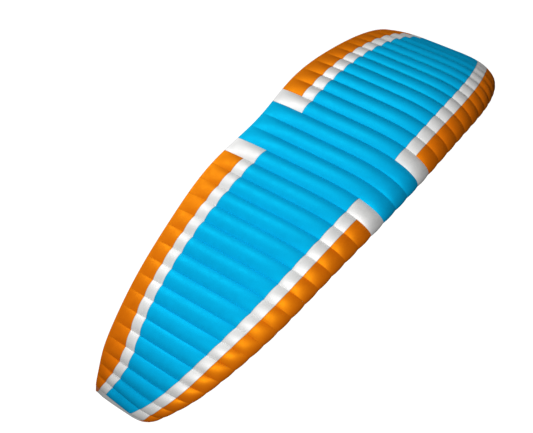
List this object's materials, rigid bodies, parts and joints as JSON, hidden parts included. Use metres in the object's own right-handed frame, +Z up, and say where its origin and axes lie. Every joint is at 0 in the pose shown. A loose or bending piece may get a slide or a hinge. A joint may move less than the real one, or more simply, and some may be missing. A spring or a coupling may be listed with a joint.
{
  "type": "paraglider wing",
  "caption": "Inflated ram-air paraglider wing: an arched row of open-mouthed cloth cells between an upper and a lower sail, with white and orange bands round a blue field.",
  "frame": {"origin": "on the lower sail at mid-span, 29% of the chord behind the leading edge, where the suspension lines (left out) hold the wing", "axes": "+X along the span, +Y from the leading edge to the trailing edge, +Z up out of the upper sail"},
  "size_m": [9.0264, 2.9414, 3.0306],
  "materials": {
    "ripstop_blue": "calendered ripstop nylon, satin",
    "ripstop_white": "calendered ripstop nylon, satin",
    "ripstop_orange": "calendered ripstop nylon, satin",
    "rib_cloth": "stiff coated rib cloth, matt"
  },
  "bodies": {
    "root": {"upper_orange_front_outer_left": "ripstop_orange", "upper_orange_front_middle_left": "ripstop_orange", "upper_orange_front_inner_left": "ripstop_orange", "upper_orange_rear_left": "ripstop_orange", "upper_white_front_left": "ripstop_white", "upper_white_rear_left": "ripstop_white", "upper_blue_left": "ripstop_blue", "lower_outer_left": "ripstop_white", "lower_inner_left": "ripstop_white", "tip_left": "ripstop_white", "upper_orange_front_outer_right": "ripstop_orange", "upper_orange_front_middle_right": "ripstop_orange", "upper_orange_front_inner_right": "ripstop_orange", "upper_orange_rear_right": "ripstop_orange", "upper_white_front_right": "ripstop_white", "upper_white_rear_right": "ripstop_white", "upper_blue_right": "ripstop_blue", "lower_outer_right": "ripstop_white", "lower_inner_right": "ripstop_white", "tip_right": "ripstop_white", "upper_blue_middle": "ripstop_blue", "lower_middle": "ripstop_white", "rib_01": "rib_cloth", "rib_02": "rib_cloth", "rib_03": "rib_cloth", "rib_04": "rib_cloth", "rib_05": "rib_cloth", "rib_06": "rib_cloth", "rib_07": "rib_cloth", "rib_08": "rib_cloth", "rib_09": "rib_cloth", "rib_10": "rib_cloth", "rib_11": "rib_cloth", "rib_12": "rib_cloth", "rib_13": "rib_cloth", "rib_14": "rib_cloth", "rib_15": "rib_cloth", "rib_16": "rib_cloth", "rib_17": "rib_cloth", "rib_18": "rib_cloth", "rib_19": "rib_cloth", "rib_20": "rib_cloth", "rib_21": "rib_cloth", "rib_22": "rib_cloth", "rib_23": "rib_cloth", "rib_24": "rib_cloth", "rib_25": "rib_cloth", "rib_26": "rib_cloth", "rib_27": "rib_cloth", "rib_28": "rib_cloth", "rib_29": "rib_cloth", "rib_30": "rib_cloth", "rib_31": "rib_cloth", "rib_32": "rib_cloth", "rib_33": "rib_cloth", "rib_34": "rib_cloth", "rib_35": "rib_cloth", "rib_36": "rib_cloth", "rib_37": "rib_cloth", "rib_38": "rib_cloth"}
  },
  "joints": []
}
